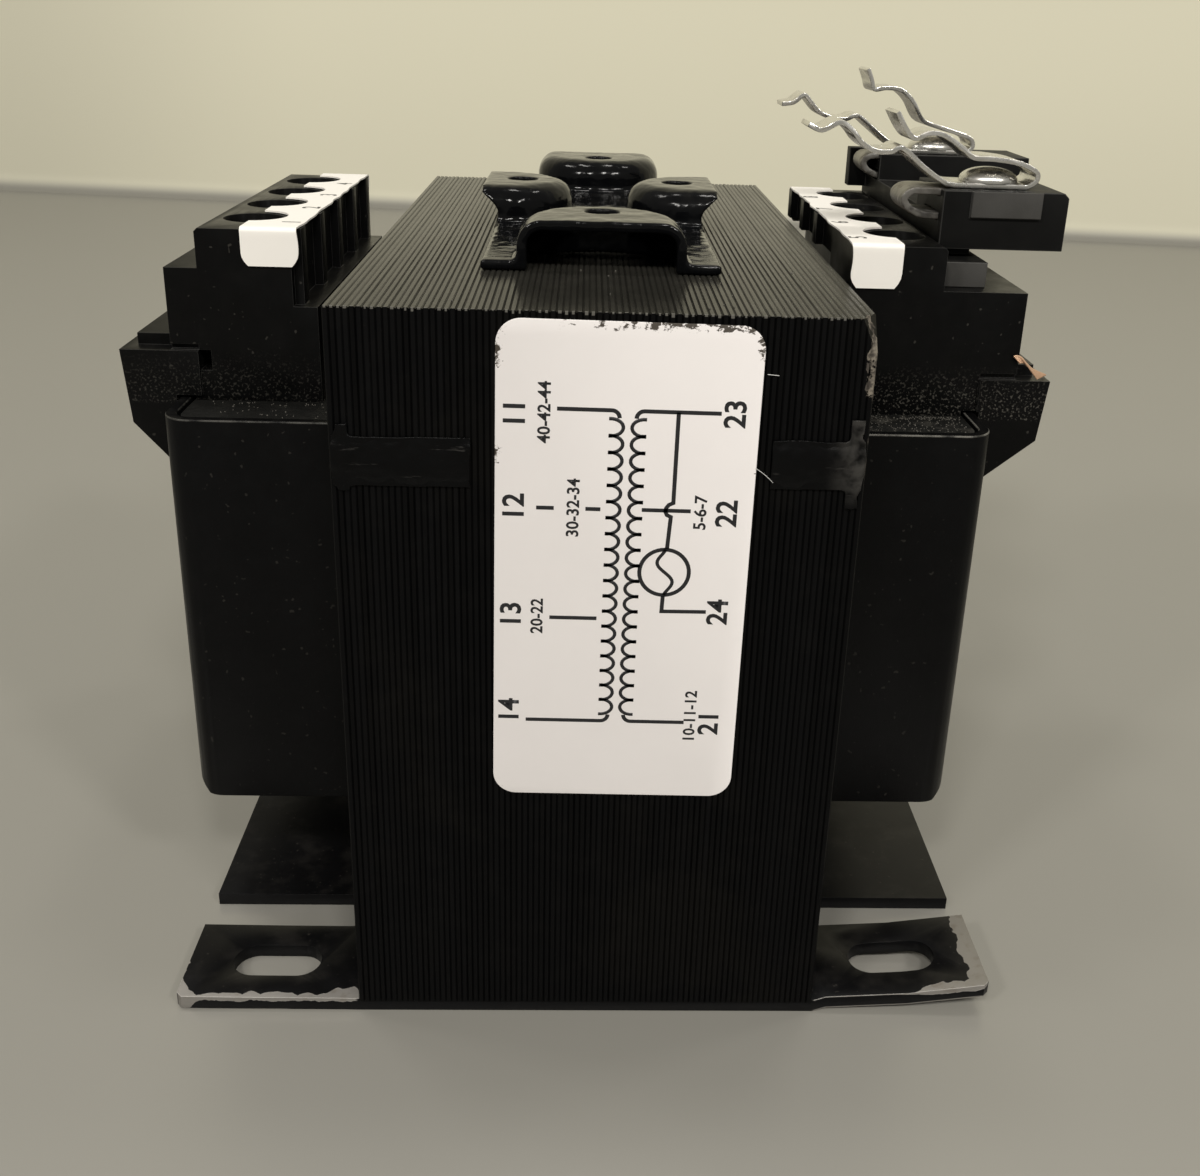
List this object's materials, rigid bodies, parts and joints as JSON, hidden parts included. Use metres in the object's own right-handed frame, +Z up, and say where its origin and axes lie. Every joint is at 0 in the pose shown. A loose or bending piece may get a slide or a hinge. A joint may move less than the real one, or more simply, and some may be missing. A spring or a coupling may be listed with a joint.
{
  "type": "laminated chassis transformer",
  "caption": "Laminated steel core transformer on a slotted mounting plate, with black coil covers, screw terminal blocks on both sides and open spring fuse clips on one of them.",
  "frame": {"origin": "centre of the four mounting slots, on the underside of the mounting plate", "axes": "+X across the stack towards the secondary terminals and the fuse block, +Y to the rear, away from the labelled face, +Z up from the mounting plate"},
  "size_m": [0.1119, 0.0964, 0.1004],
  "materials": {
    "varnished_core": "varnish over stacked steel plates, satin, with thick drips at the joint",
    "plate_enamel": "satin black paint, chipped to steel at the lugs",
    "gloss_enamel": "thick glossy black varnish",
    "former_moulding": "matte",
    "winding_wire": "enamelled copper wire",
    "insulating_paper": "varnished paper",
    "cover_moulding": "satin, dusty",
    "terminal_moulding": "satin, lightly dusty",
    "screw_brass": "tarnished",
    "tinned_metal": "tinned",
    "printed_strip": "matte off-white",
    "printed_label": "semi-matte off-white with a plain printed diagram",
    "fuse_moulding": "matte, worn on its front face",
    "tinned_clip": "bright tinned spring metal",
    "dull_tinned_strap": "dull, crusted tin"
  },
  "bodies": {
    "root": {"e_laminations": "varnished_core", "i_laminations": "varnished_core", "core_weld_beads": "varnished_core", "mounting_plate": "plate_enamel", "accessory_plate": "gloss_enamel", "coil_former": "former_moulding", "primary_winding": "winding_wire", "winding_insulation": "insulating_paper", "secondary_winding": "winding_wire", "coil_wrap": "insulating_paper", "primary_coil_cover": "cover_moulding", "secondary_coil_cover": "cover_moulding", "primary_terminal_block": "terminal_moulding", "secondary_terminal_block": "terminal_moulding", "primary_terminal_screws": "screw_brass", "secondary_terminal_screws": "screw_brass", "primary_wire_cages": "tinned_metal", "secondary_wire_cages": "tinned_metal", "primary_marker_strip": "printed_strip", "secondary_marker_strip": "printed_strip", "wiring_label": "printed_label", "fuse_block": "fuse_moulding", "front_fuse_clip": "tinned_clip", "rear_fuse_clip": "tinned_clip", "fuse_clip_rivets": "tinned_clip", "fuse_link_straps": "dull_tinned_strap"}
  },
  "joints": []
}
